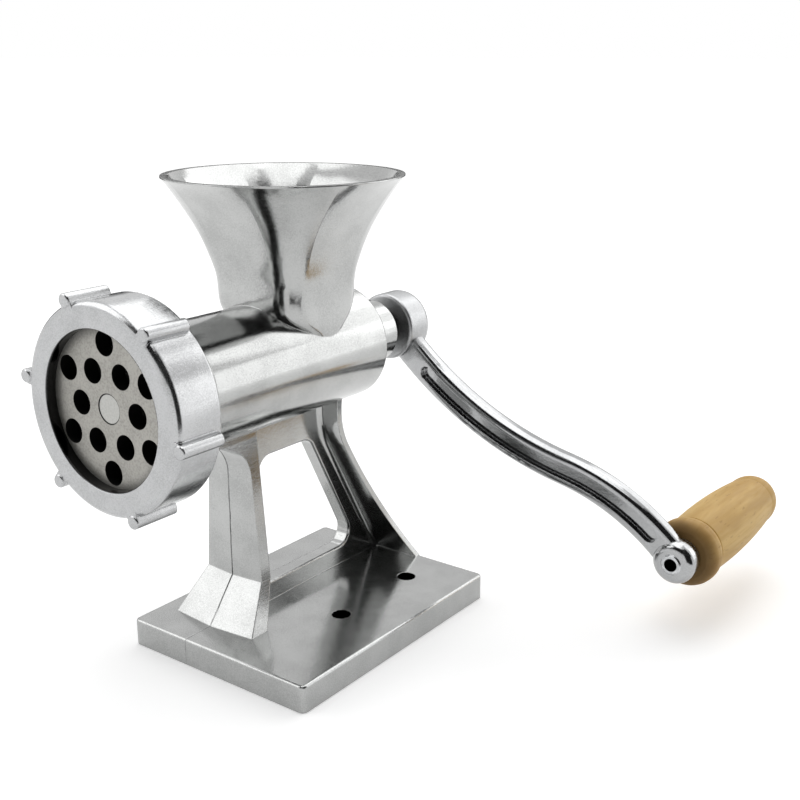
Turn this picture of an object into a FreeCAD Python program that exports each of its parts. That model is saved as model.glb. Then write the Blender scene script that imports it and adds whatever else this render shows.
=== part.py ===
"""Hand crank meat grinder that bolts to a table: one aluminium casting carries the feed screw.

Frame: millimetres, +Z up. The origin is on the underside of the base, below the barrel's axis and
midway along the base. The outlet faces -Y, the crank turns behind the barrel at +Y, and the wide,
drilled side of the base is at +X.
"""

import FreeCAD, Part
import math
import os

from FreeCAD import Vector

# Barrel axis and base
AXIS_Z = 94.5
BASE_LENGTH = 101.0
BASE_LEFT = 25.0
BASE_RIGHT = 51.5
BASE_THICK = 9.2
BASE_CORNER_R = 2.0
BASE_EDGE_R = 1.0
BOLT_HOLE_R = 3.3
BOLT_SPACING = 37.7
BOLT_X = 30.0
BOLT_MID_Y = 13.0

# Pedestal: a web with a window between a front leg and a curved rear leg
WEB_THICK = 6.0
WINDOW_FRONT_Y = -15.4
WINDOW_TOP_REAR_Y = 10.7
WINDOW_FOOT_REAR_Y = 35.3
WINDOW_SILL = 7.0
WINDOW_TOP_DROP = 11.0
WINDOW_R = 5.5
WINDOW_FOOT_R = 1.8
WINDOW_EDGE_R = 0.8
FRONT_LEG_Y = -27.5
FRONT_LEG_DEPTH = 4.4
FRONT_LEG_TOP_HALF = 8.8
FRONT_LEG_KNEE_HALF = 12.5
FRONT_LEG_FOOT_HALF = 17.7
FRONT_LEG_DRAFT = 0.09
FOOT_REACH = 11.4
FOOT_HEIGHT = 14.8
FOOT_DEPTH = 7.5
LEG_TOP_R = 13.0
REAR_LEG_DEPTH = 2.4
REAR_LEG_BEND_Y = 21.8
REAR_LEG_BEND_DROP = 14.0
REAR_LEG_WAIST_HALF = 11.4
REAR_LEG_MID_HALF = 14.2
REAR_LEG_FOOT_HALF = 22.5
REAR_LEG_FAR_HALF = 8.5
REAR_LEG_FAR_FOOT_HALF = 15.0
LEG_WEB_R = 2.5

# Barrel, its head and its rear neck
BARREL_R = 20.5
BARREL_WALL = 3.3
BARREL_END_Y = 34.0
REAR_WALL = 4.0
BARREL_EDGE_R = 1.5
NECK_WALL = 5.0
NECK_LENGTH = 17.8
NECK_EDGE_R = 0.8
HEAD_STEP = 1.4
HEAD_SLOPE = 9.5
HEAD_RIM = 1.2
MOUTH_WALL = 1.5
MOUTH_DEPTH = 11.0
MOUTH_CONE = 8.0

# Hopper: a rounded square throat that flares to a round rim
HOPPER_Y = 4.0
RIM_R = 40.2
RIM_RISE = 61.9
RIM_BLUNT = 0.5
FLARE_RISE = 19.5
THROAT_HALF = 18.2
THROAT_CORNER_R = 7.5
THROAT_TAPER = 0.7
THROAT_LEAN = -0.1
THROAT_ROOT = 7.0
HOPPER_WALL = 2.8
HOPPER_SECTIONS = 6
SIDE_BULGE = 0.15
CORNER_END_DEG = 22.5

# Die plate
PLATE_R = 27.0
PLATE_THICK = 5.0
PLATE_FRONT_Y = -74.5
PLATE_CLEARANCE = 0.3
HOLE_R = 3.9
HOLE_EDGE = 0.7
INNER_HOLES_SHARE = 0.62
PLATE_PROUD = 0.8
KEY_R = 1.2
KEY_INSET = 0.3
KEY_CLEARANCE = 0.3

# Cutter knife
KNIFE_TIP_GAP = 1.1
KNIFE_THICK = 5.6
KNIFE_HUB_R = 9.0
KNIFE_BLADES = 4
KNIFE_ROOT_HALF = 4.6
KNIFE_TIP_HALF = 3.2
KNIFE_BEVEL = 2.2
KNIFE_GAP = 0.05

# Clamp ring and its thread
RING_WALL = 2.7
RING_SEAT = 2.5
RING_LIP = 3.7
RING_DEPTH = 17.2
RING_FRONT_R = 2.2
RING_EDGE_R = 0.7
RIB_COUNT = 6
RIB_R = 2.2
RIB_PROUD = 0.9
RIB_FIRST_DEG = 50.5
RIB_FRONT_PROUD = 0.6
RIB_END_SETBACK = 2.0
RIB_END_R = 0.7
THREAD_HEIGHT = 1.0
THREAD_PITCH = 2.5
THREAD_TURNS = 3.2
THREAD_ROOT_HALF = 0.6
THREAD_CREST_HALF = 0.25
THREAD_SINK = 0.3
THREAD_CLEARANCE = 0.3
THREAD_START = 1.8

# Feed screw, its steel stud and its rear shaft
FLIGHT_CLEARANCE = 0.4
FLIGHT_PITCH = 23.0
FLIGHT_ROOT_HALF = 2.6
FLIGHT_TIP_HALF = 1.5
FLIGHT_END_GAP = 3.0
FLIGHT_SINK = 1.0
CORE_FRONT_R = 9.5
CORE_SHOULDER = 1.0
SHAFT_R = 6.5
SHAFT_CLEARANCE = 0.06
WASHER_THICK = 1.6
WASHER_EDGE_GAP = 3.2
SQUARE = 9.0
SQUARE_CLEARANCE = 0.05
SQUARE_LENGTH = 8.6
STUD_R = 4.7
STUD_CLEARANCE = 0.08
STUD_SQUARE = 10.0
STUD_ROOT = 14.0
STUD_RECESS = 0.2

# Crank arm
HUB_GAP = 6.8
HUB_R = 12.5
HUB_LENGTH = 13.4
HUB_EDGE_R = 1.2
HUB_BACK_R = 3.6
ARM_SETBACK = 2.6
ARM_THICK = 7.2
ARM_EDGE_R = 2.7
CRANK_REACH_X = 120.5
CRANK_DROP_Z = 66.3
BEND_X = 76.7
BEND_Z = 42.7
BEND_DEG = -11.0
ARM_HUB_HALF = 6.0
ARM_BEND_HALF = 5.9
ARM_EYE_HALF = 5.9
GROOVE_HALF = 2.6
GROOVE_DEPTH = 2.2
GROOVE_HUB_GAP = 18.5
GROOVE_EYE_GAP = 16.5
EYE_R = 7.6
EYE_PROUD = 1.2
EYE_EDGE_R = 3.0
CRANK_SCREW_R = 3.0
CRANK_SCREW_CLEARANCE = 0.3
CRANK_SCREW_GRIP = 11.0
CRANK_HEAD_R = 5.6
CRANK_HEAD_HEIGHT = 3.6
CRANK_HEAD_EDGE_R = 1.4
CRANK_SLOT_WIDTH = 1.3
CRANK_SLOT_DEPTH = 1.6
CRANK_WASHER_R = 8.5
CRANK_WASHER_THICK = 1.2

# Wooden grip and its spindle
GRIP_LENGTH = 73.8
GRIP_COLLAR_R = 12.0
GRIP_COLLAR_LENGTH = 8.8
GRIP_GROOVE_DEPTH = 0.7
GRIP_WAIST_R = 10.9
GRIP_BELLY_R = 11.5
GRIP_BELLY_SHARE = 0.38
GRIP_SHOULDER_R = 9.6
GRIP_SHOULDER_SHARE = 0.84
GRIP_DOME_ALONG = 0.72
GRIP_DOME_OUT = 0.62
GRIP_MOUTH_EDGE = 1.6
GRIP_WASHER_R = 6.5
GRIP_WASHER_THICK = 0.6
GRIP_END_PLAY = 0.3
SPINDLE_R = 3.0
SPINDLE_CLEARANCE = 0.08
SPINDLE_HEAD_STEP = 0.9
SPINDLE_HEAD_HEIGHT = 2.4
SPINDLE_HEAD_CLEARANCE = 0.5
SPINDLE_HEAD_DEPTH = 5.0
SPINDLE_PEEN_STEP = 0.7
SPINDLE_PEEN_HEIGHT = 0.5
SPINDLE_HOLE_R = 2.1
SPINDLE_HOLE_DEPTH = 4.0

# Sizes that follow from those above
FLARE_R = RIM_R + RIM_BLUNT
MOUTH_R = PLATE_R + PLATE_CLEARANCE
THREAD_ROOT_R = MOUTH_R + MOUTH_WALL
THREAD_R = THREAD_ROOT_R + THREAD_HEIGHT
HEAD_R = THREAD_ROOT_R + HEAD_STEP
BORE_R = BARREL_R - BARREL_WALL
NECK_R = SHAFT_R + NECK_WALL
RING_BORE_R = THREAD_R + THREAD_CLEARANCE
RING_R = RING_BORE_R + RING_WALL
RING_OPENING_R = PLATE_R - RING_SEAT
OUTER_HOLES_R = RING_OPENING_R - HOLE_R - HOLE_EDGE
INNER_HOLES_R = OUTER_HOLES_R * INNER_HOLES_SHARE
KNIFE_R = MOUTH_R - KNIFE_TIP_GAP
CORE_REAR_R = SHAFT_R + CORE_SHOULDER
WASHER_R = BORE_R - WASHER_EDGE_GAP
CRANK_SCREW_HOLE_R = CRANK_SCREW_R + CRANK_SCREW_CLEARANCE
SPINDLE_HEAD_R = SPINDLE_R + SPINDLE_HEAD_STEP
SPINDLE_PEEN_R = SPINDLE_R + SPINDLE_PEEN_STEP

# Places worked out from the sizes above
RIM_Z = AXIS_Z + RIM_RISE
FLARE_START_Z = AXIS_Z + FLARE_RISE
KEY_Z = AXIS_Z + MOUTH_R - KEY_INSET
RING_FRONT_Y = PLATE_FRONT_Y - RING_LIP
RING_BACK_Y = RING_FRONT_Y + RING_DEPTH
MOUTH_Y = PLATE_FRONT_Y + PLATE_PROUD
PLATE_BACK_Y = PLATE_FRONT_Y + PLATE_THICK
KNIFE_FRONT_Y = PLATE_BACK_Y + KNIFE_GAP
KNIFE_BACK_Y = KNIFE_FRONT_Y + KNIFE_THICK
CONE_FRONT_Y = MOUTH_Y + MOUTH_DEPTH
CONE_BACK_Y = CONE_FRONT_Y + MOUTH_CONE
HEAD_Y = RING_BACK_Y + THREAD_CLEARANCE
REAR_WALL_Y = BARREL_END_Y - REAR_WALL
WASHER_Y = REAR_WALL_Y - WASHER_THICK
NECK_END_Y = BARREL_END_Y + NECK_LENGTH
HUB_FRONT_Y = NECK_END_Y + HUB_GAP
HUB_BACK_Y = HUB_FRONT_Y + HUB_LENGTH
ARM_FRONT_Y = HUB_FRONT_Y + ARM_SETBACK
SQUARE_END_Y = HUB_FRONT_Y + SQUARE_LENGTH
EYE_FRONT_Y = ARM_FRONT_Y - EYE_PROUD
EYE_BACK_Y = ARM_FRONT_Y + ARM_THICK
GRIP_FRONT_Y = EYE_BACK_Y + GRIP_WASHER_THICK + GRIP_END_PLAY
GRIP_END_Y = GRIP_FRONT_Y + GRIP_LENGTH
EYE_X = CRANK_REACH_X
EYE_Z = AXIS_Z - CRANK_DROP_Z
BARREL_BOTTOM_Z = AXIS_Z - BARREL_R
LEG_ROOT_Z = BASE_THICK / 2
LEG_HEAD_Z = AXIS_Z - BORE_R / 2
KNEE_Z = BASE_THICK + FOOT_HEIGHT
BASE_REAR_Y = BASE_LENGTH / 2


def yz(y, z, x=0.0):
    """A point of the side view, on the plane at x."""
    return Vector(x, y, z)


def polygon_face(points):
    """A flat face bounded by straight lines through the points."""
    return Part.Face(Part.makePolygon(list(points) + [points[0]]))


def rounded_wire(corners):
    """A closed wire of lines and tangent arcs. Each corner is (point, radius)."""
    count = len(corners)
    starts, ends, arcs = [], [], []
    for i, (corner, radius) in enumerate(corners):
        before = (corners[i - 1][0] - corner).normalize()
        after = (corners[(i + 1) % count][0] - corner).normalize()
        half = before.getAngle(after) / 2
        reach = radius / math.tan(half)
        start, end = corner + before * reach, corner + after * reach
        middle = corner + (before + after).normalize() * (radius / math.sin(half) - radius)
        starts.append(start)
        ends.append(end)
        arcs.append(Part.Arc(start, middle, end).toShape() if radius else None)
    edges = []
    for i in range(count):
        if arcs[i]:
            edges.append(arcs[i])
        edges.append(Part.LineSegment(ends[i], starts[(i + 1) % count]).toShape())
    return Part.Wire(edges)


def turned(profile, x=0.0, z=AXIS_Z):
    """A solid of revolution about a line along Y. The profile is a list of (y, radius)."""
    points = [Vector(x, y, z + radius) for y, radius in profile]
    return polygon_face(points).revolve(Vector(x, 0, z), Vector(0, 1, 0), 360)


def rod(radius, y_from, y_to, x=0.0, z=AXIS_Z):
    """A cylinder along Y."""
    return Part.makeCylinder(radius, y_to - y_from, Vector(x, y_from, z), Vector(0, 1, 0))


def square_bar(across, y_from, y_to):
    """A square bar along the barrel's axis."""
    return Part.makeBox(across, y_to - y_from, across, Vector(-across / 2, y_from, AXIS_Z - across / 2))


def round_edges(shape, radius, chosen):
    """Fillets the edges that the test picks."""
    edges = [edge for edge in shape.Edges if chosen(edge)]
    return shape.makeFillet(radius, edges)


def circle_edge_at(edge, y, radius):
    """True for a circular edge about a line along Y, of that radius, at that y."""
    box = edge.BoundBox
    flat = abs(box.YMin - y) < 1e-4 and abs(box.YMax - y) < 1e-4
    return flat and hasattr(edge.Curve, "Radius") and abs(edge.Curve.Radius - radius) < 1e-4


def helical_ridge(radius, inward, y_from, turns, pitch, profile, left_handed=False, start_deg=0.0):
    """A ridge along a helix about the barrel's axis. The profile is a list of (height, along)."""
    sign = -1.0 if inward else 1.0
    helix = Part.makeHelix(pitch, pitch * turns, radius, 0, left_handed)
    points = [Vector(radius + sign * height, 0, along) for height, along in profile]
    section = Part.makePolygon(points + [points[0]])
    ridge = Part.Wire(helix.Edges).makePipeShell([section], True, True)
    ridge.rotate(Vector(0, 0, 0), Vector(0, 0, 1), start_deg)
    ridge.rotate(Vector(0, 0, 0), Vector(1, 0, 0), -90)
    ridge.translate(Vector(0, y_from, AXIS_Z))
    return ridge


def thread_profile():
    """The thread's ridge, from inside its wall out to its crest."""
    return [
        (-THREAD_SINK, -THREAD_ROOT_HALF),
        (THREAD_HEIGHT, -THREAD_CREST_HALF),
        (THREAD_HEIGHT, THREAD_CREST_HALF),
        (-THREAD_SINK, THREAD_ROOT_HALF),
    ]


def base_plate():
    """The flat foot, wide on the drilled side."""
    width = BASE_LEFT + BASE_RIGHT
    plate = Part.makeBox(width, BASE_LENGTH, BASE_THICK, Vector(-BASE_LEFT, -BASE_REAR_Y, 0))
    plate = round_edges(plate, BASE_CORNER_R, lambda e: e.BoundBox.ZLength > BASE_THICK / 2)
    plate = round_edges(plate, BASE_EDGE_R, lambda e: e.BoundBox.ZMin > BASE_THICK / 2)
    for side in (-1, 1):
        centre = Vector(BOLT_X, BOLT_MID_Y + side * BOLT_SPACING / 2, 0)
        plate = plate.cut(Part.makeCylinder(BOLT_HOLE_R, BASE_THICK, centre))
    return plate


def outline_prism(edges, y_from, depth):
    """A prism along Y whose front view is bounded by the edges given on the plane y = 0."""
    face = Part.Face(Part.Wire(Part.sortEdges(edges)[0]))
    face.translate(Vector(0, y_from, 0))
    return face.extrude(Vector(0, depth, 0))


def line(start, end):
    """A straight edge."""
    return Part.LineSegment(start, end).toShape()


def chain(points):
    """Straight edges from point to point."""
    return [line(start, end) for start, end in zip(points, points[1:])]


def front_leg():
    """The front leg: two drafted halves that meet in a ridge, on a spread foot."""
    back_y = FRONT_LEG_Y + FRONT_LEG_DEPTH
    ledge_y = FRONT_LEG_Y - LEG_TOP_R - BASE_EDGE_R
    foot_y = FRONT_LEG_Y - FOOT_REACH
    profile = Part.Face(
        rounded_wire(
            [
                (yz(foot_y, LEG_ROOT_Z), 0),
                (yz(foot_y, BASE_THICK), 0),
                (yz(FRONT_LEG_Y, KNEE_Z), 0),
                (yz(FRONT_LEG_Y, BARREL_BOTTOM_Z), LEG_TOP_R),
                (yz(ledge_y, BARREL_BOTTOM_Z), 0),
                (yz(ledge_y, LEG_HEAD_Z), 0),
                (yz(back_y, LEG_HEAD_Z), 0),
                (yz(back_y, KNEE_Z), 0),
                (yz(foot_y + FOOT_DEPTH, BASE_THICK), 0),
                (yz(foot_y + FOOT_DEPTH, LEG_ROOT_Z), 0),
            ]
        )
    )
    reach = FRONT_LEG_FOOT_HALF + FOOT_REACH
    right = profile.extrude(Vector(reach, reach * FRONT_LEG_DRAFT, 0))
    left = profile.extrude(Vector(-reach, reach * FRONT_LEG_DRAFT, 0))
    spread = (FRONT_LEG_FOOT_HALF - FRONT_LEG_KNEE_HALF) / FOOT_HEIGHT
    root_half = FRONT_LEG_FOOT_HALF + spread * (BASE_THICK - LEG_ROOT_Z)
    rise = [
        Vector(root_half, 0, LEG_ROOT_Z),
        Vector(FRONT_LEG_KNEE_HALF, 0, KNEE_Z),
        Vector(FRONT_LEG_TOP_HALF, 0, BARREL_BOTTOM_Z),
        Vector(FRONT_LEG_TOP_HALF, 0, LEG_HEAD_Z),
    ]
    mirrored = [Vector(-point.x, 0, point.z) for point in reversed(rise)]
    outline = chain(rise + mirrored + rise[:1])
    return right.fuse(left).removeSplitter().common(outline_prism(outline, 2 * foot_y, -2 * foot_y))


def rear_curve(inset):
    """The rear leg's side curve, moved forward by the inset: a straight run and a tangent arc."""
    bend_z = BARREL_BOTTOM_Z - REAR_LEG_BEND_DROP
    foot = yz(BASE_REAR_Y - inset, BASE_THICK)
    bend = yz(REAR_LEG_BEND_Y - inset, bend_z)
    head = yz(REAR_LEG_BEND_Y - inset, LEG_HEAD_Z)
    lean = math.atan2(foot.y - bend.y, bend.z - foot.z)
    half_rise = (head.z - bend.z) / 2
    waist = yz(bend.y - half_rise * math.tan(lean / 2), bend.z + half_rise)
    root = foot + (foot - bend).normalize() * (BASE_THICK - LEG_ROOT_Z) / math.cos(lean)
    return [line(root, bend), Part.Arc(bend, waist, head).toShape()], root, head


def rear_leg():
    """The rear leg: a curved strip that widens to the base's rear edge, most on the drilled side."""
    outer, outer_root, outer_head = rear_curve(0)
    inner, inner_root, inner_head = rear_curve(REAR_LEG_DEPTH)
    ends = [line(outer_head, inner_head), line(inner_root, outer_root)]
    strip = Part.Face(Part.Wire(Part.sortEdges(outer + inner + ends)[0]))
    strip.translate(Vector(-BASE_RIGHT, 0, 0))
    strip = strip.extrude(Vector(2 * BASE_RIGHT, 0, 0))
    bend_z = BARREL_BOTTOM_Z - REAR_LEG_BEND_DROP
    foot = Vector(REAR_LEG_FOOT_HALF, 0, BASE_THICK)
    middle = Vector(REAR_LEG_MID_HALF, 0, (BASE_THICK + bend_z) / 2)
    waist = Vector(REAR_LEG_WAIST_HALF, 0, bend_z)
    far_side = [
        Vector(REAR_LEG_WAIST_HALF, 0, LEG_HEAD_Z),
        Vector(-REAR_LEG_FAR_HALF, 0, LEG_HEAD_Z),
        Vector(-REAR_LEG_FAR_HALF, 0, KNEE_Z),
        Vector(-REAR_LEG_FAR_FOOT_HALF, 0, BASE_THICK),
        Vector(-REAR_LEG_FAR_FOOT_HALF, 0, LEG_ROOT_Z),
        Vector(REAR_LEG_FOOT_HALF, 0, LEG_ROOT_Z),
    ]
    outline = chain([waist] + far_side + [foot]) + [Part.Arc(foot, middle, waist).toShape()]
    return strip.common(outline_prism(outline, 0, 2 * BASE_REAR_Y))


def web():
    """The upright wall between the legs."""
    rear, root, head = rear_curve(REAR_LEG_DEPTH / 2)
    front_y = FRONT_LEG_Y + FRONT_LEG_DEPTH / 2
    front_root, front_head = yz(front_y, LEG_ROOT_Z), yz(front_y, LEG_HEAD_Z)
    edges = rear + chain([head, front_head, front_root, root])
    wall = Part.Face(Part.Wire(Part.sortEdges(edges)[0])).extrude(Vector(WEB_THICK, 0, 0))
    wall.translate(Vector(-WEB_THICK / 2, 0, 0))
    return wall


def window():
    """The opening through the web."""
    sill_z, top_z = BASE_THICK + WINDOW_SILL, BARREL_BOTTOM_Z - WINDOW_TOP_DROP
    side = -WEB_THICK
    wire = rounded_wire(
        [
            (yz(WINDOW_FRONT_Y, sill_z, side), WINDOW_FOOT_R),
            (yz(WINDOW_FOOT_REAR_Y, sill_z, side), WINDOW_R),
            (yz(WINDOW_TOP_REAR_Y, top_z, side), WINDOW_R),
            (yz(WINDOW_FRONT_Y, top_z, side), WINDOW_R),
        ]
    )
    return Part.Face(wire).extrude(Vector(2 * WEB_THICK, 0, 0))


def pedestal():
    """Legs and web as one piece, with hollow corners, the window cut, and its edges eased."""
    frame = web().fuse([front_leg(), rear_leg()]).removeSplitter()
    face_x = WEB_THICK / 2

    def on_web_face(edge):
        found = edge.BoundBox
        return found.XLength < 1e-4 and abs(abs(found.XMin) - face_x) < 1e-4

    def in_corner(edge):
        inside = edge.BoundBox.YMin > FRONT_LEG_Y + FRONT_LEG_DEPTH / 2
        return on_web_face(edge) and inside and edge.BoundBox.ZLength > KNEE_Z / 2

    frame = round_edges(frame, LEG_WEB_R, in_corner)
    opening = window()
    box = opening.BoundBox
    box.enlarge(1e-3)

    def on_window(edge):
        found = edge.BoundBox
        return on_web_face(edge) and box.isInside(found)

    return round_edges(frame.cut(opening), WINDOW_EDGE_R, on_window)


def barrel_outside():
    """The barrel's outer form: threaded mouth, sloped head, barrel and neck."""
    form = turned(
        [
            (MOUTH_Y, 0),
            (MOUTH_Y, THREAD_ROOT_R),
            (HEAD_Y, THREAD_ROOT_R),
            (HEAD_Y, HEAD_R),
            (HEAD_Y + HEAD_RIM, HEAD_R),
            (HEAD_Y + HEAD_RIM + HEAD_SLOPE, BARREL_R),
            (BARREL_END_Y, BARREL_R),
            (BARREL_END_Y, NECK_R),
            (NECK_END_Y, NECK_R),
            (NECK_END_Y, 0),
        ]
    )
    form = round_edges(form, BARREL_EDGE_R, lambda e: circle_edge_at(e, BARREL_END_Y, BARREL_R))
    return round_edges(form, NECK_EDGE_R, lambda e: circle_edge_at(e, NECK_END_Y, NECK_R))


def barrel_inside():
    """What is bored out of the barrel: plate seat, cone, bore and shaft hole."""
    shaft_hole_r = SHAFT_R + SHAFT_CLEARANCE
    return turned(
        [
            (MOUTH_Y, 0),
            (MOUTH_Y, MOUTH_R),
            (CONE_FRONT_Y, MOUTH_R),
            (CONE_BACK_Y, BORE_R),
            (REAR_WALL_Y, BORE_R),
            (REAR_WALL_Y, shaft_hole_r),
            (NECK_END_Y, shaft_hole_r),
            (NECK_END_Y, 0),
        ]
    )


def flare(z):
    """Half the hopper's width at a height, on an arc that leaves the throat upright."""
    rise, spread = RIM_Z - FLARE_START_Z, FLARE_R - THROAT_HALF
    arc_r = (spread * spread + rise * rise) / (2 * spread)
    up = max(0.0, z - FLARE_START_Z)
    return THROAT_HALF + arc_r - math.sqrt(arc_r * arc_r - up * up)


def hopper_section(z, inset):
    """The hopper's outline at a height: a rounded square that turns into a circle at the rim."""
    share = max(0.0, (z - FLARE_START_Z) / (RIM_Z - FLARE_START_Z)) ** 2
    below = max(0.0, FLARE_START_Z - z)
    outer = flare(z)
    corner = THROAT_CORNER_R + share * (outer - THROAT_CORNER_R) - inset
    straight_x = outer - inset - corner
    straight_y = straight_x - THROAT_TAPER * below
    centre = Vector(0, HOPPER_Y - THROAT_LEAN * below, z)
    start_deg = CORNER_END_DEG * share
    bulge = SIDE_BULGE * (1 - share)

    def corner_point(degrees):
        turn = math.radians(degrees)
        return Vector(straight_x + corner * math.cos(turn), straight_y + corner * math.sin(turn), 0)

    def mirrored(point, x_sign, y_sign):
        return centre + Vector(point.x * x_sign, point.y * y_sign, 0)

    first, middle, last = corner_point(start_deg), corner_point(45), corner_point(90 - start_deg)
    side = Vector(straight_x + corner + bulge, 0, 0)
    end = Vector(0, straight_y + corner + bulge, 0)
    quarters = [(1, 1, False), (-1, 1, True), (-1, -1, False), (1, -1, True)]
    stops, bends = [], []
    for x_sign, y_sign, backward in quarters:
        run = (last, first) if backward else (first, last)
        stops += [mirrored(point, x_sign, y_sign) for point in run]
        bends += [mirrored(middle, x_sign, y_sign), mirrored(side if backward else end, x_sign, y_sign)]
    arcs = [Part.Arc(stops[i], bends[i], stops[(i + 1) % len(stops)]) for i in range(len(stops))]
    return Part.Wire([arc.toShape() for arc in arcs])


def hopper_form(inset):
    """A solid funnel, from inside the barrel up to the rim."""
    rise = (RIM_Z - FLARE_START_Z) / HOPPER_SECTIONS
    root_z = AXIS_Z + THROAT_ROOT
    heights = [root_z, (root_z + FLARE_START_Z) / 2]
    heights += [FLARE_START_Z + rise * i for i in range(HOPPER_SECTIONS + 1)]
    return Part.makeLoft([hopper_section(z, inset) for z in heights], True, False)


def body_casting():
    """Base, pedestal, barrel and hopper, cast in one piece, with the threaded mouth."""
    blunt_rim = Part.makeCylinder(RIM_R, RIM_Z, Vector(0, HOPPER_Y, 0))
    body = barrel_outside().fuse(hopper_form(0).common(blunt_rim))
    body = body.fuse([pedestal(), base_plate()]).removeSplitter()
    body = body.cut(barrel_inside()).cut(hopper_form(HOPPER_WALL))
    body = body.cut(key_pin())
    thread = helical_ridge(
        THREAD_ROOT_R, False, MOUTH_Y + THREAD_START, THREAD_TURNS, THREAD_PITCH, thread_profile()
    )
    return body.fuse(thread)


def key_pin():
    """The steel pin, half sunk in the mouth's wall, that keeps the die plate from turning."""
    return rod(KEY_R, MOUTH_Y, PLATE_BACK_Y, z=KEY_Z)


def die_plate():
    """The perforated plate, with two rings of six holes and a key notch."""
    plate = rod(PLATE_R, PLATE_FRONT_Y, PLATE_BACK_Y)
    cuts = [rod(STUD_R + STUD_CLEARANCE, PLATE_FRONT_Y, PLATE_BACK_Y)]
    for i in range(6):
        for distance, turn in ((INNER_HOLES_R, 0), (OUTER_HOLES_R, 30)):
            angle = math.radians(60 * i + turn)
            x, z = distance * math.cos(angle), AXIS_Z + distance * math.sin(angle)
            cuts.append(rod(HOLE_R, PLATE_FRONT_Y, PLATE_BACK_Y, x, z))
    cuts.append(rod(KEY_R + KEY_CLEARANCE, PLATE_FRONT_Y, PLATE_BACK_Y, z=KEY_Z))
    return plate.cut(cuts)


def cutter_knife():
    """The cross-shaped knife: bevelled blades on a square-holed hub, sharp against the plate."""
    hub = rod(KNIFE_HUB_R, KNIFE_FRONT_Y, KNIFE_BACK_Y)
    blades = []
    for i in range(KNIFE_BLADES):
        sections = []
        for y, trim in ((KNIFE_FRONT_Y, 0), (KNIFE_BACK_Y, KNIFE_BEVEL)):
            sections.append(
                Part.makePolygon(
                    [
                        Vector(0, y, AXIS_Z - KNIFE_ROOT_HALF),
                        Vector(KNIFE_R - trim / 2, y, AXIS_Z - KNIFE_TIP_HALF),
                        Vector(KNIFE_R - trim / 2, y, AXIS_Z + KNIFE_TIP_HALF - trim),
                        Vector(0, y, AXIS_Z + KNIFE_ROOT_HALF - trim),
                        Vector(0, y, AXIS_Z - KNIFE_ROOT_HALF),
                    ]
                )
            )
        blade = Part.makeLoft(sections, True, True)
        blade.rotate(Vector(0, 0, AXIS_Z), Vector(0, 1, 0), 45 + i * 360 / KNIFE_BLADES)
        blades.append(blade)
    knife = hub.fuse(blades).removeSplitter()
    return knife.cut(square_bar(STUD_SQUARE + 2 * SQUARE_CLEARANCE, KNIFE_FRONT_Y, KNIFE_BACK_Y))


def clamp_ring():
    """The ring nut that holds the die plate, with round grip ribs and an inner thread."""
    ring = turned(
        [
            (RING_FRONT_Y, RING_OPENING_R),
            (RING_FRONT_Y, RING_R),
            (RING_BACK_Y, RING_R),
            (RING_BACK_Y, RING_BORE_R),
            (PLATE_FRONT_Y, RING_BORE_R),
            (PLATE_FRONT_Y, RING_OPENING_R),
        ]
    )
    ring = round_edges(ring, RING_FRONT_R, lambda e: circle_edge_at(e, RING_FRONT_Y, RING_R))

    def small_edge(edge):
        rear = circle_edge_at(edge, RING_BACK_Y, RING_R)
        return rear or circle_edge_at(edge, RING_FRONT_Y, RING_OPENING_R)

    ring = round_edges(ring, RING_EDGE_R, small_edge)
    ribs = [grip_rib(RIB_FIRST_DEG + i * 360 / RIB_COUNT) for i in range(RIB_COUNT)]
    ring = ring.fuse(ribs).removeSplitter()
    thread = helical_ridge(
        RING_BORE_R,
        True,
        MOUTH_Y + THREAD_START + THREAD_PITCH / 2,
        THREAD_TURNS,
        THREAD_PITCH,
        thread_profile(),
    )
    return ring.fuse(thread)


def grip_rib(degrees):
    """One rounded rib along the clamp ring."""
    centre_r = RING_R + RIB_PROUD
    front, back = RING_FRONT_Y - RIB_FRONT_PROUD, RING_BACK_Y - RIB_END_SETBACK
    round_part = rod(RIB_R, front, back, x=centre_r)
    root = Part.makeBox(
        RIB_PROUD + RIB_R, back - front - RIB_FRONT_PROUD, 2 * RIB_R,
        Vector(RING_R - RIB_R, front + RIB_FRONT_PROUD, AXIS_Z - RIB_R),
    )
    round_part = round_edges(round_part, RIB_END_R, lambda e: circle_edge_at(e, front, RIB_R))
    rib = round_part.fuse(root).removeSplitter()
    rib.rotate(Vector(0, 0, AXIS_Z), Vector(0, 1, 0), -degrees)
    return rib


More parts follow.
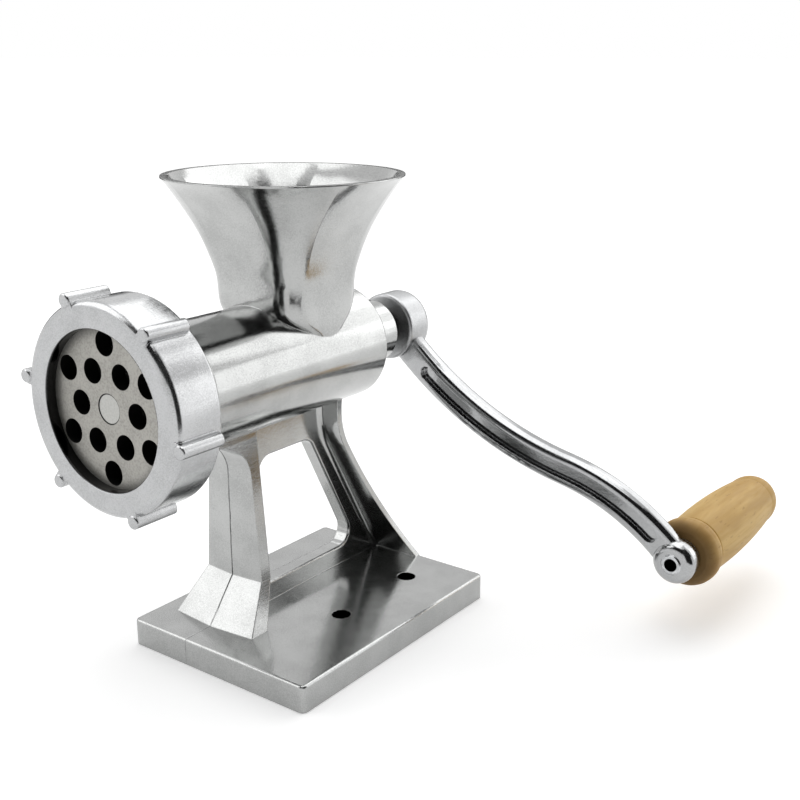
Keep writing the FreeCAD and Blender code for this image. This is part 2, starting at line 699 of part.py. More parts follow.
def auger_screw():
    """The feed screw: a tapered core with one flight, a shaft, and a square end for the crank."""
    flight_r = BORE_R - FLIGHT_CLEARANCE
    core = turned(
        [
            (KNIFE_BACK_Y, 0),
            (KNIFE_BACK_Y, CORE_FRONT_R),
            (WASHER_Y, CORE_REAR_R),
            (WASHER_Y, SHAFT_R),
            (HUB_FRONT_Y, SHAFT_R),
            (HUB_FRONT_Y, 0),
        ]
    )
    start, end = CONE_BACK_Y - FLIGHT_END_GAP, WASHER_Y - FLIGHT_END_GAP
    height = flight_r - CORE_REAR_R
    profile = [
        (-FLIGHT_SINK, -FLIGHT_ROOT_HALF),
        (height, -FLIGHT_TIP_HALF),
        (height, FLIGHT_TIP_HALF),
        (-FLIGHT_SINK, FLIGHT_ROOT_HALF),
    ]
    turns = (end - start - 2 * FLIGHT_ROOT_HALF) / FLIGHT_PITCH
    flight = helical_ridge(
        CORE_REAR_R, False, start + FLIGHT_ROOT_HALF, turns, FLIGHT_PITCH, profile, left_handed=True
    )
    screw = core.fuse(flight).fuse(square_bar(SQUARE, HUB_FRONT_Y - SHAFT_R, SQUARE_END_Y))
    screw = screw.cut(square_bar(STUD_SQUARE, KNIFE_BACK_Y, KNIFE_BACK_Y + STUD_ROOT))
    return screw.cut(rod(CRANK_SCREW_R, SQUARE_END_Y - CRANK_SCREW_GRIP, SQUARE_END_Y))


def auger_stud():
    """The steel stud in the screw's nose: square through the knife, round through the plate."""
    square = square_bar(STUD_SQUARE, KNIFE_FRONT_Y, KNIFE_BACK_Y + STUD_ROOT)
    return square.fuse(rod(STUD_R, PLATE_FRONT_Y + STUD_RECESS, KNIFE_FRONT_Y)).removeSplitter()


def thrust_washer():
    """The washer that takes the screw's push against the barrel's rear wall."""
    inner_r = SHAFT_R + SHAFT_CLEARANCE
    return rod(WASHER_R, WASHER_Y + SHAFT_CLEARANCE, REAR_WALL_Y).cut(rod(inner_r, WASHER_Y, REAR_WALL_Y))


def arc_point(start, middle, end, share):
    """A point at a share of the arc's length through three points, and the direction there."""
    arc = Part.Arc(start, middle, end)
    at = arc.FirstParameter + share * (arc.LastParameter - arc.FirstParameter)
    return arc.value(at), arc.tangent(at)[0]


def tangent_arc_middle(start, end, direction):
    """The middle of the arc from start to end that leaves the end along the direction given there."""
    chord = end - start
    turn = chord.getAngle(direction)
    side = chord.cross(direction).y
    normal = chord.cross(Vector(0, 1, 0)).normalize()
    sag = chord.Length / 2 * math.tan(turn / 2)
    return (start + end) / 2 + normal * (sag if side > 0 else -sag)


def crank_line(y):
    """The arm's centre line at y: two arcs, hub to bend and bend to eye, as three points each."""
    hub, eye = Vector(0, y, AXIS_Z), Vector(EYE_X, y, EYE_Z)
    bend = Vector(BEND_X, y, AXIS_Z - BEND_Z)
    angle = math.radians(BEND_DEG)
    onward = Vector(math.cos(angle), 0, math.sin(angle))
    first = (hub, tangent_arc_middle(hub, bend, onward), bend)
    second = (bend, tangent_arc_middle(eye, bend, onward * -1), eye)
    return first, second


def arm_side(arcs, halves, side):
    """One edge line of the arm: each arc moved sideways by a width that tapers along it."""
    edges = []
    for arc, (half_from, half_to) in zip(arcs, halves):
        points = []
        for share in (0.0, 0.5, 1.0):
            point, along = arc_point(*arc, share)
            across = along.cross(Vector(0, 1, 0)).normalize()
            points.append(point + across * side * (half_from + (half_to - half_from) * share))
        edges.append(points)
    edges[1][0] = edges[0][2]
    return edges


def ribbon(y, halves, shares):
    """A flat face along the crank's line, between two shares of its arcs."""
    first, second = crank_line(y)
    clipped = []
    for arc, (start, end) in zip((first, second), shares):
        clipped.append(tuple(arc_point(*arc, share)[0] for share in (start, (start + end) / 2, end)))
    upper, lower = arm_side(clipped, halves, 1), arm_side(clipped, halves, -1)
    edges = [Part.Arc(*points).toShape() for points in upper + lower]
    for end in (0, 2):
        arc = 0 if end == 0 else 1
        edges.append(Part.LineSegment(upper[arc][end], lower[arc][end]).toShape())
    return Part.Face(Part.Wire(Part.sortEdges(edges)[0])), clipped


def crank_arm():
    """The cast crank: hub with a square socket, a grooved S-shaped arm, and an eye for the grip."""
    halves = [(ARM_HUB_HALF, ARM_BEND_HALF), (ARM_BEND_HALF, ARM_EYE_HALF)]
    face, _ = ribbon(ARM_FRONT_Y, halves, [(0, 1), (0, 1)])
    arm = face.extrude(Vector(0, ARM_THICK, 0))

    def long_edge(edge):
        return edge.BoundBox.YLength < 1e-4 and edge.Length > 3 * ARM_HUB_HALF

    arm = round_edges(arm, ARM_EDGE_R, long_edge)
    length = math.hypot(CRANK_REACH_X, CRANK_DROP_Z) / 2
    groove_shares = [(GROOVE_HUB_GAP / length, 1), (0, 1 - GROOVE_EYE_GAP / length)]
    groove_halves = [(GROOVE_HALF, GROOVE_HALF)] * 2
    groove_face, path = ribbon(ARM_FRONT_Y, groove_halves, groove_shares)
    groove = groove_face.extrude(Vector(0, GROOVE_DEPTH, 0))
    for end in (path[0][0], path[1][2]):
        groove = groove.fuse(rod(GROOVE_HALF, ARM_FRONT_Y, ARM_FRONT_Y + GROOVE_DEPTH, end.x, end.z))
    arm = arm.cut(groove.removeSplitter())
    hub = rod(HUB_R, HUB_FRONT_Y, HUB_BACK_Y)
    hub = round_edges(hub, HUB_EDGE_R, lambda e: circle_edge_at(e, HUB_FRONT_Y, HUB_R))
    hub = round_edges(hub, HUB_BACK_R, lambda e: circle_edge_at(e, HUB_BACK_Y, HUB_R))
    eye = rod(EYE_R, EYE_FRONT_Y, EYE_BACK_Y, EYE_X, EYE_Z)
    eye = round_edges(eye, EYE_EDGE_R, lambda e: e.BoundBox.YLength < 1e-4)
    crank = arm.fuse([hub, eye]).removeSplitter()
    socket = square_bar(SQUARE + 2 * SQUARE_CLEARANCE, HUB_FRONT_Y, SQUARE_END_Y + SQUARE_CLEARANCE)
    screw_hole = rod(CRANK_SCREW_HOLE_R, HUB_FRONT_Y, HUB_BACK_Y)
    spindle_hole = rod(SPINDLE_R, EYE_FRONT_Y, EYE_BACK_Y, EYE_X, EYE_Z)
    return crank.cut([socket, screw_hole, spindle_hole])


def crank_washer():
    """The washer under the crank screw's head."""
    back = HUB_BACK_Y + CRANK_WASHER_THICK
    return rod(CRANK_WASHER_R, HUB_BACK_Y, back).cut(rod(CRANK_SCREW_HOLE_R, HUB_BACK_Y, back))


def crank_screw():
    """The slotted screw that holds the crank on the shaft's square end."""
    seat = HUB_BACK_Y + CRANK_WASHER_THICK
    top = seat + CRANK_HEAD_HEIGHT
    head = rod(CRANK_HEAD_R, seat, top)
    head = round_edges(head, CRANK_HEAD_EDGE_R, lambda e: circle_edge_at(e, top, CRANK_HEAD_R))
    slot = Part.makeBox(
        2 * CRANK_HEAD_R, CRANK_SLOT_DEPTH, CRANK_SLOT_WIDTH,
        Vector(-CRANK_HEAD_R, top - CRANK_SLOT_DEPTH, AXIS_Z - CRANK_SLOT_WIDTH / 2),
    )
    shank = rod(CRANK_SCREW_R, SQUARE_END_Y - CRANK_SCREW_GRIP, seat)
    return head.cut(slot).fuse(shank).removeSplitter()


def grip_washer():
    """The thin washer between the eye and the grip."""
    back = EYE_BACK_Y + GRIP_WASHER_THICK
    hole = rod(SPINDLE_R, EYE_BACK_Y, back, EYE_X, EYE_Z)
    return rod(GRIP_WASHER_R, EYE_BACK_Y, back, EYE_X, EYE_Z).cut(hole)


def grip_spindle():
    """The spindle the grip turns on: riveted over at the eye, with a head sunk in the grip's end."""
    head_y = GRIP_END_Y - SPINDLE_HEAD_DEPTH + GRIP_END_PLAY
    front = EYE_FRONT_Y - SPINDLE_PEEN_HEIGHT
    spindle = turned(
        [
            (front, 0),
            (front, SPINDLE_PEEN_R - SPINDLE_PEEN_HEIGHT),
            (EYE_FRONT_Y, SPINDLE_PEEN_R),
            (EYE_FRONT_Y, SPINDLE_R),
            (head_y, SPINDLE_R),
            (head_y, SPINDLE_HEAD_R),
            (head_y + SPINDLE_HEAD_HEIGHT, SPINDLE_HEAD_R),
            (head_y + SPINDLE_HEAD_HEIGHT, 0),
        ],
        EYE_X,
        EYE_Z,
    )
    return spindle.cut(rod(SPINDLE_HOLE_R, front, front + SPINDLE_HOLE_DEPTH, EYE_X, EYE_Z))


def wooden_grip():
    """The turned grip: a collar, a fine groove, a swelling body and a domed end."""
    def at(y, radius):
        return Vector(EYE_X, y, EYE_Z + radius)

    groove_y = GRIP_FRONT_Y + GRIP_COLLAR_LENGTH
    bore_r = SPINDLE_R + SPINDLE_CLEARANCE
    sink_r, sink_y = SPINDLE_HEAD_R + SPINDLE_HEAD_CLEARANCE, GRIP_END_Y - SPINDLE_HEAD_DEPTH
    mouth = at(GRIP_FRONT_Y, GRIP_COLLAR_R - 2 * GRIP_MOUTH_EDGE)
    collar = at(GRIP_FRONT_Y + GRIP_COLLAR_LENGTH / 2, GRIP_COLLAR_R)
    groove = at(groove_y, GRIP_WAIST_R - GRIP_GROOVE_DEPTH)
    waist = at(groove_y + GRIP_GROOVE_DEPTH, GRIP_WAIST_R)
    belly = at(GRIP_FRONT_Y + GRIP_LENGTH * GRIP_BELLY_SHARE, GRIP_BELLY_R)
    shoulder = at(GRIP_FRONT_Y + GRIP_LENGTH * GRIP_SHOULDER_SHARE, GRIP_SHOULDER_R)
    rim = at(GRIP_END_Y, sink_r)
    dome_y = shoulder.y + (rim.y - shoulder.y) * GRIP_DOME_ALONG
    dome = at(dome_y, sink_r + (GRIP_SHOULDER_R - sink_r) * GRIP_DOME_OUT)
    collar_front = at(GRIP_FRONT_Y + GRIP_MOUTH_EDGE, GRIP_COLLAR_R - GRIP_MOUTH_EDGE / 2)
    collar_back = at(groove_y - GRIP_MOUTH_EDGE, GRIP_COLLAR_R - GRIP_MOUTH_EDGE / 4)
    edges = [
        Part.LineSegment(at(GRIP_FRONT_Y, bore_r), mouth).toShape(),
        Part.Arc(mouth, collar_front, collar).toShape(),
        Part.Arc(collar, collar_back, groove).toShape(),
        Part.LineSegment(groove, waist).toShape(),
        Part.Arc(waist, belly, shoulder).toShape(),
        Part.Arc(shoulder, dome, rim).toShape(),
        Part.LineSegment(rim, at(sink_y, sink_r)).toShape(),
        Part.LineSegment(at(sink_y, sink_r), at(sink_y, bore_r)).toShape(),
        Part.LineSegment(at(sink_y, bore_r), at(GRIP_FRONT_Y, bore_r)).toShape(),
    ]
    return Part.Face(Part.Wire(edges)).revolve(Vector(EYE_X, 0, EYE_Z), Vector(0, 1, 0), 360)


PIECES = {
    "body_casting": body_casting,
    "plate_key_pin": key_pin,
    "thrust_washer": thrust_washer,
    "auger_screw": auger_screw,
    "auger_stud": auger_stud,
    "cutter_knife": cutter_knife,
    "die_plate": die_plate,
    "clamp_ring": clamp_ring,
    "crank_arm": crank_arm,
    "crank_washer": crank_washer,
    "crank_screw": crank_screw,
    "grip_washer": grip_washer,
    "grip_spindle": grip_spindle,
    "wooden_grip": wooden_grip,
}


def main():
    os.makedirs("parts", exist_ok=True)
    for name, make in PIECES.items():
        shape = make()
        print(name, "solids", len(shape.Solids), "valid", shape.isValid(), "volume", round(shape.Volume, 1))
        shape.exportStep(f"parts/{name}.step")


main()
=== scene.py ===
"""Looks of the hand crank meat grinder: procedural metals and wood on the CAD pieces, in a pale studio."""

import math

import bpy
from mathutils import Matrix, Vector


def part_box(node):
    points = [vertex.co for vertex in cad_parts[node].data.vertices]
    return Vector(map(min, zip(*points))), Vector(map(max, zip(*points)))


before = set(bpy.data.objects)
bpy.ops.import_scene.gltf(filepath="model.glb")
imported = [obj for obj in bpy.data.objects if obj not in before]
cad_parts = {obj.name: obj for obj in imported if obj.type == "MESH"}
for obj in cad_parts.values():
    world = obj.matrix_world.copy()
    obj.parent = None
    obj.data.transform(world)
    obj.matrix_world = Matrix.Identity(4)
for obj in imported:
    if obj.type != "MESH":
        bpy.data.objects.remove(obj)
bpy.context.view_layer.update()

# Camera, in metres and degrees, found by matching the photograph's edges
CAMERA_PLACE = Vector((0.26263, -0.28527, 0.19484))
CAMERA_AZIMUTH = math.radians(36.60)
CAMERA_ELEVATION = math.radians(16.66)
CAMERA_LENS = 52.4
SENSOR = 36.0

# Studio, in metres and watts. The lift is the floor's own glow, from near the object to far away
MM = 0.001
FLOOR_SIZE = 60.0
FLOOR_DROP = 0.2 * MM
FLOOR_NEAR = 0.25
FLOOR_FAR = 1.0
FLOOR_LIFT_NEAR = 0.26
FLOOR_LIFT_FAR = 0.6
SKY_FOR_DIFFUSE = 0.5
LIGHT_AIM = (0, 0, 0.08)
LOW_AIM = (0, 0, 0.05)
FLAG_GREY = 0.03
FLAG_STEPS = 24

# Colours, linear
BODY_METAL = (0.44, 0.445, 0.44)
RING_METAL = (0.5, 0.505, 0.51)
CRANK_METAL = (0.43, 0.435, 0.44)
# Painted shade: the auger's near-black colour stands for the dark inside the barrel
SCREW_PAINTED_SHADE = (0.08, 0.08, 0.08)
PLATE_STEEL = (0.44, 0.43, 0.40)
# Painted shade: the knife's near-black colour stands for the dark inside the barrel
KNIFE_PAINTED_SHADE = (0.05, 0.05, 0.045)
SEAM_DIRT = (0.05, 0.05, 0.05, 1)
# Painted shade and painted dark reflection on the ring's inner lip
LIP_PAINTED_SHADE = (0.03, 0.03, 0.03, 1)
# Painted shadow in the gap round the stud
STUD_GAP_PAINTED_SHADE = (0.02, 0.02, 0.02, 1)
# Painted shade in the plate's holes and painted shadow round its rim
PLATE_PAINTED_SHADE = (0.012, 0.012, 0.011, 1)
# Painted shade: a dark disc standing for the spindle's hole
SPINDLE_HOLE_PAINTED_SHADE = (0.012, 0.012, 0.012, 1)
# Painted shade inside the base's bolt holes
BOLT_HOLE_PAINTED_SHADE = (0.01, 0.01, 0.01, 1)
BEECH_LIGHT = (0.62, 0.42, 0.165, 1)
BEECH_MID = (0.47, 0.295, 0.1, 1)
BEECH_DEEP = (0.3, 0.17, 0.055, 1)
BEECH_FRONT_DARKER = (0.24, 0.125, 0.03, 1)
BEECH_FRONT_DARKEST = (0.035, 0.02, 0.008, 1)

# Places on the object that the materials follow
plate_low, plate_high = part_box("die_plate")
BARREL_AXIS = (plate_low + plate_high) / 2
grip_low, grip_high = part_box("wooden_grip")
GRIP_AXIS = (grip_low + grip_high) / 2
GRIP_FRONT = grip_low.y
LIP_EDGE = 24.6 * MM
HUB_REACH = 14 * MM
SPINDLE_HOLE = 2.3 * MM
BOLT_HOLE = 3.4 * MM
BOLT_HOLES_X = 30 * MM
BOLT_HOLES_Y = (-5.85 * MM, 31.85 * MM)
FRONT_DARKENING_DEPTH = 9 * MM
EDGE_EASE = 0.5 * MM
STUD_EDGE = 4.3 * MM
SEAM_HALF = 0.16 * MM
SEAM_BACK = -21 * MM
SEAM_TOP = 70 * MM
BASE_TOP = 9.2 * MM


def add(tree, kind, inputs=None, **settings):
    """Adds a shader node. Each input is a constant, or a socket to link from."""
    made = tree.nodes.new(kind)
    for name, value in settings.items():
        setattr(made, name, value)
    for name, value in (inputs or {}).items():
        if isinstance(value, bpy.types.NodeSocket):
            tree.links.new(value, made.inputs[name])
        else:
            made.inputs[name].default_value = value
    return made


def math_node(tree, operation, first, second=0.0, third=0.0):
    """One step of arithmetic on constants or sockets."""
    made = add(tree, "ShaderNodeMath", {0: first, 1: second, 2: third}, operation=operation)
    return made.outputs[0]


def vector_node(tree, operation, first, second=(0, 0, 0)):
    """One step of vector arithmetic."""
    return add(tree, "ShaderNodeVectorMath", {0: first, 1: second}, operation=operation).outputs["Vector"]


def length(tree, vector):
    """The length of a vector."""
    return add(tree, "ShaderNodeVectorMath", {0: vector}, operation="LENGTH").outputs["Value"]


def parts(tree, vector):
    """The X, Y and Z of a vector."""
    return add(tree, "ShaderNodeSeparateXYZ", {"Vector": vector}).outputs


def remap(tree, value, low, high, to_low=0.0, to_high=1.0):
    """Maps a value from one range to another, smoothly and clamped."""
    inputs = {"Value": value, "From Min": low, "From Max": high, "To Min": to_low, "To Max": to_high}
    made = add(tree, "ShaderNodeMapRange", inputs, interpolation_type="SMOOTHSTEP")
    return made.outputs["Result"]


def noise(tree, place, scale, detail=3.0, stretch=(1, 1, 1)):
    """Fractal noise at a scale per metre, stretched along the axes."""
    mapped = add(tree, "ShaderNodeMapping", {"Vector": place, "Scale": stretch})
    inputs = {"Vector": mapped.outputs["Vector"], "Scale": scale, "Detail": detail}
    return add(tree, "ShaderNodeTexNoise", inputs).outputs["Fac"]


def mix_colour(tree, share, first, second):
    """Blends two colours."""
    made = add(tree, "ShaderNodeMix", data_type="RGBA")
    for socket, value in ((made.inputs[0], share), (made.inputs[6], first), (made.inputs[7], second)):
        if isinstance(value, bpy.types.NodeSocket):
            tree.links.new(value, socket)
        else:
            socket.default_value = value
    return made.outputs[2]


def bump(tree, height, distance, normal=None):
    """Turns a height in the range 0 to 1 into a bumped normal."""
    inputs = {"Height": height, "Distance": distance, "Strength": 1.0}
    if normal:
        inputs["Normal"] = normal
    return add(tree, "ShaderNodeBump", inputs).outputs["Normal"]


def new_material(name):
    """An empty node material: the material, its tree, its shader and the object's own coordinates."""
    material = bpy.data.materials.new(name)
    material.use_nodes = True
    tree = material.node_tree
    shader = tree.nodes["Principled BSDF"]
    coordinates = tree.nodes.new("ShaderNodeTexCoord")
    return material, tree, shader, coordinates


def plug(tree, shader, **sockets):
    """Links sockets to the shader's inputs, by name with underscores for spaces."""
    for name, socket in sockets.items():
        tree.links.new(socket, shader.inputs[name.replace("_", " ")])


def axis_distance(tree, place, axis=BARREL_AXIS):
    """The distance from a line along Y, the barrel's axis unless another is given."""
    off = vector_node(tree, "SUBTRACT", place, axis)
    return length(tree, vector_node(tree, "MULTIPLY", off, (1, 0, 1)))


def seam_mask(tree, place):
    """1 on the casting's parting seam, a thin wavering line down the middle of the front leg and foot."""
    x, y, z = parts(tree, place)
    waver = math_node(tree, "MULTIPLY_ADD", noise(tree, place, 160), 0.6 * MM, -0.3 * MM)
    off = math_node(tree, "ABSOLUTE", math_node(tree, "ADD", x, waver))
    on_line = remap(tree, off, SEAM_HALF, 2 * SEAM_HALF, 1, 0)
    in_front = math_node(tree, "LESS_THAN", y, SEAM_BACK)
    low = math_node(tree, "LESS_THAN", z, SEAM_TOP)
    worn = remap(tree, noise(tree, place, 120), 0.3, 0.6, 0.35, 1)
    clear = math_node(tree, "MULTIPLY", worn, remap(tree, z, BASE_TOP, BASE_TOP + 2 * MM, 0.35, 1))
    on_leg = math_node(tree, "MULTIPLY", in_front, low)
    return math_node(tree, "MULTIPLY", on_line, math_node(tree, "MULTIPLY", on_leg, clear))


def bolt_hole_shade_mask(tree, place):
    """1 on the walls of the base's two bolt holes, where shade is painted."""
    masks = []
    for y in BOLT_HOLES_Y:
        off = vector_node(tree, "SUBTRACT", place, (BOLT_HOLES_X, y, 0))
        radius = length(tree, vector_node(tree, "MULTIPLY", off, (1, 1, 0)))
        masks.append(math_node(tree, "LESS_THAN", radius, BOLT_HOLE))
    in_base = math_node(tree, "LESS_THAN", parts(tree, place)["Z"], BASE_TOP)
    return math_node(tree, "MULTIPLY", in_base, math_node(tree, "MAXIMUM", *masks))


def cast_metal(name, colour, rough, frost=None, reach=None, body=False, painted_lip_shade=False):
    """Polished casting: mottled, faintly dimpled, streaked by the buff.

    frost roughens what lies within reach of the barrel's axis or, with no reach, what faces the outlet.
    body adds the parting seam and painted shade in the bolt holes, and the lip switch paints shade and a
    dark reflection on the ring's inner lip.
    """
    material, tree, shader, coordinates = new_material(name)
    place = coordinates.outputs["Object"]
    mottle = noise(tree, place, 90, 4)
    dimples = noise(tree, place, 900, 3)
    skin = noise(tree, place, 2600, 2)
    streaks = noise(tree, place, 260, 3, (1, 1, 9))
    dark = tuple(part * 0.8 for part in colour) + (1,)
    shade = math_node(tree, "MULTIPLY_ADD", mottle, 0.4, math_node(tree, "MULTIPLY", skin, 0.6))
    tint = mix_colour(tree, remap(tree, shade, 0.36, 0.6), dark, colour + (1,))
    roughness = remap(tree, streaks, 0.25, 0.75, rough * 0.8, rough * 1.2)
    if frost:
        if reach:
            share = remap(tree, axis_distance(tree, place), reach, reach + 3 * MM, 1, 0)
        else:
            facing = parts(tree, coordinates.outputs["Normal"])
            share = remap(tree, facing["Y"], -0.9, -0.99)
        grain = noise(tree, place, 1800, 2)
        frosted = remap(tree, grain, 0.3, 0.7, frost * 0.9, frost * 1.1)
        spread = add(tree, "ShaderNodeMix", {0: share, 2: roughness, 3: frosted})
        roughness = spread.outputs[0]
    eased = add(tree, "ShaderNodeBevel", {"Radius": EDGE_EASE}, samples=4)
    normal = bump(tree, dimples, 0.013 * MM, eased.outputs["Normal"])
    if body:
        mask = seam_mask(tree, place)
        tint = mix_colour(tree, mask, tint, SEAM_DIRT)
        normal = bump(tree, mask, -0.1 * MM, normal)
        # Painted shade: the bolt hole walls are darkened as if in shade
        tint = mix_colour(tree, bolt_hole_shade_mask(tree, place), tint, BOLT_HOLE_PAINTED_SHADE)
    # Painted shade: the ring's inner lip is blackened to stand for shade and a dark reflection
    if painted_lip_shade:
        inside = remap(tree, axis_distance(tree, place), LIP_EDGE, LIP_EDGE + 0.3 * MM, 1, 0)
        tint = mix_colour(tree, inside, tint, LIP_PAINTED_SHADE)
    shader.inputs["Metallic"].default_value = 1.0
    plug(tree, shader, Base_Color=tint, Roughness=roughness, Normal=normal)
    return material


def ground_steel(name, colour, rough, painted_hole_shade=False):
    """Ground or sintered steel: warm grey and speckled. The hole-shade switch paints shade on the hole
    walls and a painted shadow round the rim.
    """
    material, tree, shader, coordinates = new_material(name)
    place = coordinates.outputs["Object"]
    speckle = noise(tree, place, 1500, 2)
    clouds = noise(tree, place, 120, 3)
    dark = tuple(part * 0.7 for part in colour) + (1,)
    shade = math_node(tree, "MULTIPLY_ADD", speckle, 0.7, math_node(tree, "MULTIPLY", clouds, 0.3))
    tint = mix_colour(tree, remap(tree, shade, 0.35, 0.62), dark, colour + (1,))
    if painted_hole_shade:
        # Painted shade on the hole walls and a painted shadow from the ring's lip round the rim
        facing = parts(tree, coordinates.outputs["Normal"])
        wall = remap(tree, math_node(tree, "ABSOLUTE", facing["Y"]), 0.3, 0.6, 1, 0)
        painted_rim_shadow = remap(tree, axis_distance(tree, place), LIP_EDGE - 4 * MM, LIP_EDGE, 0, 0.5)
        tint = mix_colour(tree, math_node(tree, "MAXIMUM", wall, painted_rim_shadow), tint, PLATE_PAINTED_SHADE)
    roughness = remap(tree, speckle, 0.3, 0.7, rough * 0.85, rough * 1.15)
    shader.inputs["Metallic"].default_value = 0.85
    plug(tree, shader, Base_Color=tint, Roughness=roughness, Normal=bump(tree, speckle, 0.02 * MM))
    return material


def stud_steel():
    """The stud's turned end: bright, with a painted shadow line for the gap where it meets the plate."""
    material, tree, shader, coordinates = new_material("turned_stud")
    place = coordinates.outputs["Object"]
    grain = noise(tree, place, 1600, 2)
    tint = mix_colour(tree, remap(tree, grain, 0.3, 0.7), (0.42, 0.42, 0.4, 1), (0.5, 0.5, 0.48, 1))
    # Painted shadow: a dark ring at the stud's edge stands for the gap's shade
    gap_shade = remap(tree, axis_distance(tree, place), STUD_EDGE, STUD_EDGE + 0.2 * MM)
    tint = mix_colour(tree, gap_shade, tint, STUD_GAP_PAINTED_SHADE)
    shader.inputs["Metallic"].default_value = 0.85
    roughness = remap(tree, grain, 0.3, 0.7, 0.38, 0.48)
    plug(tree, shader, Base_Color=tint, Roughness=roughness, Normal=bump(tree, grain, 0.01 * MM))
    return material


def plated_steel(name, painted_hole_r=0.0):
    """Bright plated steel with turning marks, and a painted dark disc on the grip's axis, in front of the
    grip, standing for the shade in a hole.
    """
    material, tree, shader, coordinates = new_material(name)
    place = coordinates.outputs["Object"]
    marks = noise(tree, place, 900, 2, (1, 6, 1))
    tint = mix_colour(tree, remap(tree, marks, 0.3, 0.7), (0.42, 0.43, 0.44, 1), (0.6, 0.61, 0.62, 1))
    # Painted shade: a dark disc stands for the inside of a hole
    if painted_hole_r:
        inside = math_node(tree, "LESS_THAN", axis_distance(tree, place, GRIP_AXIS), painted_hole_r)
        in_front = math_node(tree, "LESS_THAN", parts(tree, place)["Y"], GRIP_FRONT)
        hole = math_node(tree, "MULTIPLY", inside, in_front)
        tint = mix_colour(tree, hole, tint, SPINDLE_HOLE_PAINTED_SHADE)
    shader.inputs["Metallic"].default_value = 1.0
    roughness = remap(tree, marks, 0.3, 0.7, 0.2, 0.34)
    plug(tree, shader, Base_Color=tint, Roughness=roughness, Normal=bump(tree, marks, 0.01 * MM))
    return material


def white_plastic():
    """Moulded plastic with a fine grain."""
    material, tree, shader, coordinates = new_material("moulded_plastic")
    grain = noise(tree, coordinates.outputs["Object"], 1200, 2)
    tint = mix_colour(tree, grain, (0.74, 0.73, 0.69, 1), (0.86, 0.85, 0.81, 1))
    roughness = remap(tree, grain, 0.3, 0.7, 0.45, 0.6)
    plug(tree, shader, Base_Color=tint, Roughness=roughness, Normal=bump(tree, grain, 0.02 * MM))
    return material


def beech():
    """Turned beech: grain along the grip, short pores, and a ragged darker patch round the collar's front
    face.
    """
    material, tree, shader, coordinates = new_material("turned_beech")
    place = vector_node(tree, "SUBTRACT", coordinates.outputs["Object"], GRIP_AXIS)
    rings = noise(tree, place, 150, 3, (1, 0.14, 1))
    fibres = noise(tree, place, 900, 4, (1, 0.06, 1))
    pores = remap(tree, noise(tree, place, 1100, 2, (1, 0.16, 1)), 0.63, 0.72)
    blotch = noise(tree, place, 70, 2)
    tint = mix_colour(tree, remap(tree, rings, 0.35, 0.65), BEECH_MID, BEECH_LIGHT)
    tint = mix_colour(tree, remap(tree, fibres, 0.45, 0.75, 0, 0.4), tint, BEECH_MID)
    tint = mix_colour(tree, math_node(tree, "MULTIPLY", pores, 0.45), tint, BEECH_DEEP)
    # Darker, raggedly, towards the collar's front face
    depth = math_node(tree, "ADD", parts(tree, coordinates.outputs["Object"])["Y"], -GRIP_FRONT)
    ragged = math_node(tree, "MULTIPLY_ADD", blotch, 6 * MM, math_node(tree, "ADD", depth, -3 * MM))
    front_darker = remap(tree, ragged, 0, FRONT_DARKENING_DEPTH, 0.75, 0)
    tint = mix_colour(tree, front_darker, tint, BEECH_FRONT_DARKER)
    front_darkest = remap(tree, ragged, 0, FRONT_DARKENING_DEPTH / 2, 0.6, 0)
    tint = mix_colour(tree, front_darkest, tint, BEECH_FRONT_DARKEST)
    shader.inputs["Specular IOR Level"].default_value = 0.22
    roughness = remap(tree, fibres, 0.3, 0.7, 0.48, 0.62)
    plug(tree, shader, Base_Color=tint, Roughness=roughness, Normal=bump(tree, fibres, 0.03 * MM))
    return material


def dress(material, *nodes):
    """Gives CAD pieces a material."""
    for name in nodes:
        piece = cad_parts[name]
        piece.data.materials.clear()
        piece.data.materials.append(material)


def studio_rays(tree):
    """1 for rays that show the surroundings as they look: from the camera, off gloss or through glass."""
    path = add(tree, "ShaderNodeLightPath")
    seen = math_node(tree, "MAXIMUM", path.outputs["Is Camera Ray"], path.outputs["Is Glossy Ray"])
    return math_node(tree, "MAXIMUM", seen, path.outputs["Is Transmission Ray"])


def make_world():
    """A white surround that lights the object more softly than it shows."""
    world = bpy.data.worlds.new("studio")
    bpy.context.scene.world = world
    world.use_nodes = True
    tree = world.node_tree
    strength = math_node(tree, "MULTIPLY_ADD", studio_rays(tree), 1 - SKY_FOR_DIFFUSE, SKY_FOR_DIFFUSE)
    tree.links.new(strength, tree.nodes["Background"].inputs["Strength"])
    tree.nodes["Background"].inputs["Color"].default_value = (1, 1, 1, 1)


def make_floor():
    """A pale floor that keeps the object's shadow."""
    bpy.ops.mesh.primitive_plane_add(size=FLOOR_SIZE, location=(0, 0, -FLOOR_DROP))
    floor = bpy.context.object
    floor.name = "studio_floor"
    material, tree, shader, coordinates = new_material("pale_floor")
    speckle = noise(tree, coordinates.outputs["Object"], 4, 2)
    tint = mix_colour(tree, speckle, (0.88, 0.88, 0.88, 1), (0.92, 0.92, 0.92, 1))
    away = length(tree, coordinates.outputs["Object"])
    fade = remap(tree, away, FLOOR_NEAR, FLOOR_FAR, FLOOR_LIFT_NEAR, FLOOR_LIFT_FAR)
    lift = math_node(tree, "MULTIPLY", studio_rays(tree), fade)
    shader.inputs["Roughness"].default_value = 0.9
    shader.inputs["Specular IOR Level"].default_value = 0.0
    shader.inputs["Emission Color"].default_value = (1, 1, 1, 1)
    plug(tree, shader, Base_Color=tint, Emission_Strength=lift)
    floor.data.materials.append(material)


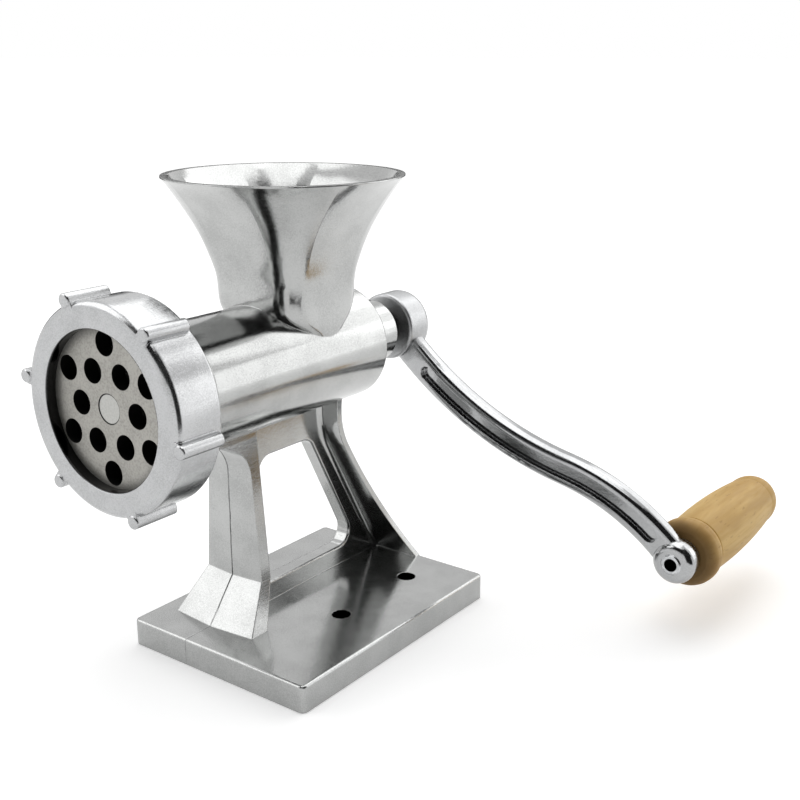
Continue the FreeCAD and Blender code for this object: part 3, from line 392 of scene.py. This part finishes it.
def area_light(name, place, size, power, aim=LIGHT_AIM):
    """A square soft light that points at one place."""
    data = bpy.data.lights.new(name, "AREA")
    data.size = size
    data.energy = power
    light = bpy.data.objects.new(name, data)
    light.location = place
    light.rotation_euler = (Vector(aim) - Vector(place)).to_track_quat("-Z", "Y").to_euler()
    light.visible_camera = False
    bpy.context.scene.collection.objects.link(light)


def flag(name, radius, from_deg, to_deg, low, high):
    """A curved dark panel round the object that only gloss sees. Its angles run from -Y towards +X."""
    corners, faces = [], []
    for step in range(FLAG_STEPS + 1):
        turn = math.radians(from_deg + (to_deg - from_deg) * step / FLAG_STEPS)
        for height in (low, high):
            corners.append((radius * math.sin(turn), -radius * math.cos(turn), height))
    for step in range(FLAG_STEPS):
        first = 2 * step
        faces.append((first, first + 2, first + 3, first + 1))
    mesh = bpy.data.meshes.new(name)
    mesh.from_pydata(corners, [], faces)
    panel = bpy.data.objects.new(name, mesh)
    bpy.context.scene.collection.objects.link(panel)
    material, tree, shader, coordinates = new_material(name)
    weave = noise(tree, coordinates.outputs["Object"], 30, 2)
    tint = mix_colour(tree, weave, (FLAG_GREY * 0.8,) * 3 + (1,), (FLAG_GREY,) * 3 + (1,))
    shader.inputs["Specular IOR Level"].default_value = 0.0
    plug(tree, shader, Base_Color=tint)
    mesh.materials.append(material)
    panel.visible_camera = False
    panel.visible_diffuse = False
    panel.visible_shadow = False


def make_camera():
    """The photograph's camera."""
    data = bpy.data.cameras.new("photo_camera")
    data.lens = CAMERA_LENS
    data.sensor_width = SENSOR
    camera = bpy.data.objects.new("photo_camera", data)
    flat = math.cos(CAMERA_ELEVATION)
    height = math.sin(CAMERA_ELEVATION)
    back = Vector((math.sin(CAMERA_AZIMUTH) * flat, -math.cos(CAMERA_AZIMUTH) * flat, height))
    camera.location = CAMERA_PLACE
    camera.rotation_euler = (-back).to_track_quat("-Z", "Y").to_euler()
    bpy.context.scene.collection.objects.link(camera)
    bpy.context.scene.camera = camera


dress(cast_metal("polished_casting", BODY_METAL, 0.16, body=True), "body_casting")
dress(cast_metal("ring_casting", RING_METAL, 0.2, frost=0.42, painted_lip_shade=True), "clamp_ring")
dress(cast_metal("crank_casting", CRANK_METAL, 0.12, frost=0.36, reach=HUB_REACH), "crank_arm")
# The auger gets a near-black painted shade colour for the dark inside the barrel
dress(cast_metal("screw_painted_shade", SCREW_PAINTED_SHADE, 0.4), "auger_screw")
dress(ground_steel("sintered_steel", PLATE_STEEL, 0.55, painted_hole_shade=True), "die_plate")
# The knife gets a near-black painted shade colour for the dark inside the barrel
dress(ground_steel("knife_painted_shade", KNIFE_PAINTED_SHADE, 0.5), "cutter_knife")
dress(stud_steel(), "auger_stud", "plate_key_pin")
dress(plated_steel("plated_steel"), "crank_washer", "crank_screw", "grip_washer")
# The spindle's end gets a painted shade disc for its hole
dress(plated_steel("riveted_steel", SPINDLE_HOLE), "grip_spindle")
dress(white_plastic(), "thrust_washer")
dress(beech(), "wooden_grip")

make_world()
make_floor()
area_light("top_softbox", place=(-0.1, 0.3, 0.75), size=0.75, power=2.5)
area_light("left_softbox", place=(-0.56, -0.44, 0.64), size=0.75, power=2.3, aim=LOW_AIM)
area_light("back_softbox", place=(0.3, 0.95, 0.55), size=0.8, power=2.3)
area_light("right_softbox", place=(0.77, 0.92, 0.25), size=0.6, power=1.15)
area_light("front_softbox", place=(0.1, -0.13, 0.75), size=0.36, power=0.55)
flag("front_flag", radius=0.9, from_deg=-28, to_deg=110, low=0.36, high=1.7)
flag("right_flag", radius=0.36, from_deg=46, to_deg=104, low=0.0, high=0.4)
flag("horizon_flag", radius=1.4, from_deg=172, to_deg=262, low=0.0, high=0.34)
make_camera()
bpy.context.scene.view_settings.view_transform = "Standard"
